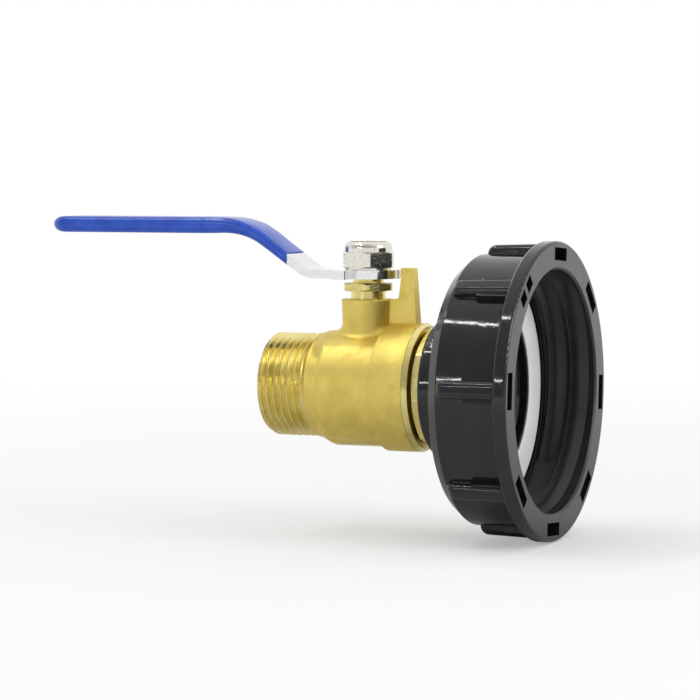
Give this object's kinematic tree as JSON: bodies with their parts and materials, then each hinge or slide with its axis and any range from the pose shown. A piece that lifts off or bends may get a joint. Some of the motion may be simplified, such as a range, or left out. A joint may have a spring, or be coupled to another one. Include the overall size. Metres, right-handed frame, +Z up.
{
  "type": "container tank valve",
  "caption": "Quarter-turn brass ball valve with a bent steel lever, joined by a plastic tail piece to a ribbed swivel coupling nut for a bulk container outlet",
  "frame": {"origin": "centre of the coupling nut's mouth face, on the pipe axis", "axes": "+X along the pipe out of the nut's mouth towards the tank, +Z up the stem, outlet towards -X"},
  "size_m": [0.1401, 0.0748, 0.0804],
  "materials": {
    "forged_brass": "blasted forging, satin",
    "machined_brass": "turned, bright",
    "chromed_steel": "bright plated",
    "grip_vinyl": "dipped vinyl, glossy",
    "black_plastic": "moulded, glossy",
    "seal_rubber": "matt off-white",
    "black_rubber": "matt",
    "seat_plastic": "waxy white"
  },
  "bodies": {
    "valve": {"valve_body": "forged_brass", "outlet_seat": "seat_plastic", "inlet_seat": "seat_plastic", "stem_washer": "seat_plastic", "stem_packing": "seat_plastic", "packing_follower": "machined_brass", "gland_nut": "machined_brass", "inlet_connector": "machined_brass", "connector_washer": "black_rubber", "stub_o_ring": "black_rubber", "tail_piece": "black_plastic", "tank_seal": "seal_rubber"},
    "handle": {"ball": "chromed_steel", "stem": "machined_brass", "lever": "chromed_steel", "lever_grip": "grip_vinyl", "spring_washer": "chromed_steel", "handle_nut": "chromed_steel", "nut_insert": "seat_plastic"},
    "nut": {"coupling_nut": "black_plastic"}
  },
  "joints": [
    {"name": "lever_turn", "type": "hinge", "parent": "valve", "child": "handle", "pos_m": [-0.0508, 0, 0], "axis": [0, 0, 1], "range_deg": [0, 90]},
    {"name": "nut_turn", "type": "hinge", "parent": "valve", "child": "nut", "pos_m": [0, 0, 0], "axis": [1, 0, 0], "continuous": true}
  ]
}
